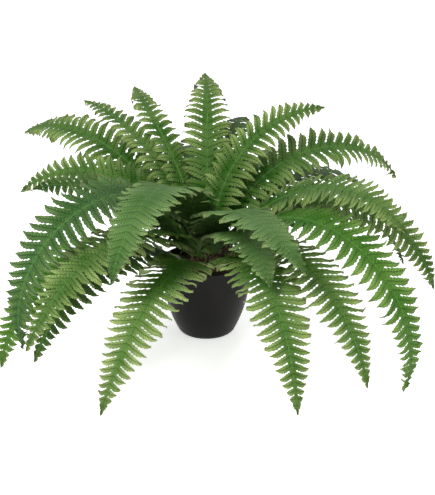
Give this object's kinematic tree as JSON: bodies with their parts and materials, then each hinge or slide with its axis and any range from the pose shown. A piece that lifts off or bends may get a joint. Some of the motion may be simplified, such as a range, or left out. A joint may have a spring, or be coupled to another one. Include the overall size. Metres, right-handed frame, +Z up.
{
  "type": "potted fern",
  "caption": "Potted fern: a rosette of long arching toothed fronds growing from a crown in a round bowl-shaped pot that stands on its flat foot.",
  "frame": {"origin": "centre of the pot's flat foot, on the surface it stands on", "axes": "+Z up along the pot's axis, -Y towards the front, +X to the right"},
  "size_m": [0.622, 0.718, 0.3673],
  "materials": {
    "pot_plastic": "satin",
    "medium": "matte",
    "crown_fibre": "matte",
    "leaf": "satin"
  },
  "bodies": {
    "root": {"pot": "pot_plastic", "growing_medium": "medium", "crown": "crown_fibre", "frond_top_1": "leaf", "frond_top_2": "leaf", "frond_top_3": "leaf", "frond_top_4": "leaf", "frond_top_5": "leaf", "frond_left_1": "leaf", "frond_left_2": "leaf", "frond_left_3": "leaf", "frond_left_4": "leaf", "frond_left_5": "leaf", "frond_right_1": "leaf", "frond_right_2": "leaf", "frond_right_3": "leaf", "frond_right_4": "leaf", "frond_front_1": "leaf", "frond_front_2": "leaf", "frond_front_3": "leaf", "frond_front_4": "leaf", "frond_front_5": "leaf", "frond_front_6": "leaf", "frond_front_7": "leaf", "frond_front_8": "leaf", "frond_front_9": "leaf", "frond_back_1": "leaf", "frond_back_2": "leaf", "frond_back_3": "leaf", "frond_back_4": "leaf", "frond_back_5": "leaf", "frond_back_6": "leaf", "frond_back_7": "leaf"}
  },
  "joints": []
}
